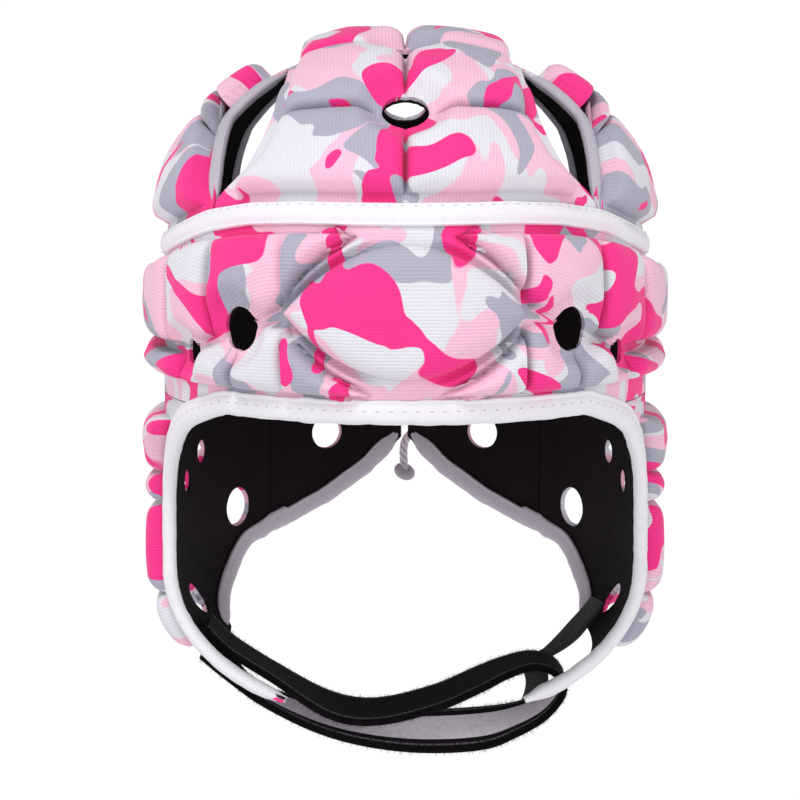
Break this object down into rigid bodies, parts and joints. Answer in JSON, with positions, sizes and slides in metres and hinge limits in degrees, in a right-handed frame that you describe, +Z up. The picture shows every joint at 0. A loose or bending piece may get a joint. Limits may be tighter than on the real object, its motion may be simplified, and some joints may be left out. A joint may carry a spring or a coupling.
{
  "type": "rugby scrum cap",
  "caption": "Padded rugby scrum cap with quilted knit panels, vent holes, bound edges, laced nape and a chin strap, in its worn form.",
  "frame": {"origin": "inside of the crown's top, where the cap rests on a head, on the middle plane", "axes": "+Z up, -Y is where the face looks, +X is to the right as the front is seen in the picture"},
  "size_m": [0.1778, 0.2117, 0.2416],
  "materials": {
    "padded_knit": "ribbed polyester knit printed with pink, white and grey camouflage blotches, over foam",
    "lining": "matt black stretch lining",
    "binding_tape": "white woven binding tape, stitched",
    "strap": "black webbing and brushed loop strap",
    "lace": "off-white braided cord"
  },
  "bodies": {
    "root": {"forehead_band": "padded_knit", "crown_panel": "padded_knit", "right_temple_panel": "padded_knit", "left_temple_panel": "padded_knit", "right_rear_panel": "padded_knit", "left_rear_panel": "padded_knit", "right_cheek_panel": "padded_knit", "left_cheek_panel": "padded_knit", "forehead_lining": "lining", "crown_lining": "lining", "right_temple_lining": "lining", "left_temple_lining": "lining", "right_rear_lining": "lining", "left_rear_lining": "lining", "right_cheek_lining": "lining", "left_cheek_lining": "lining", "face_binding": "binding_tape", "brow_tape": "binding_tape", "right_front_vent_binding": "binding_tape", "left_front_vent_binding": "binding_tape", "right_rear_vent_binding": "binding_tape", "left_rear_vent_binding": "binding_tape", "right_neck_binding": "binding_tape", "left_neck_binding": "binding_tape", "chin_strap": "strap", "strap_keeper": "strap", "rear_lace": "lace"}
  },
  "joints": []
}
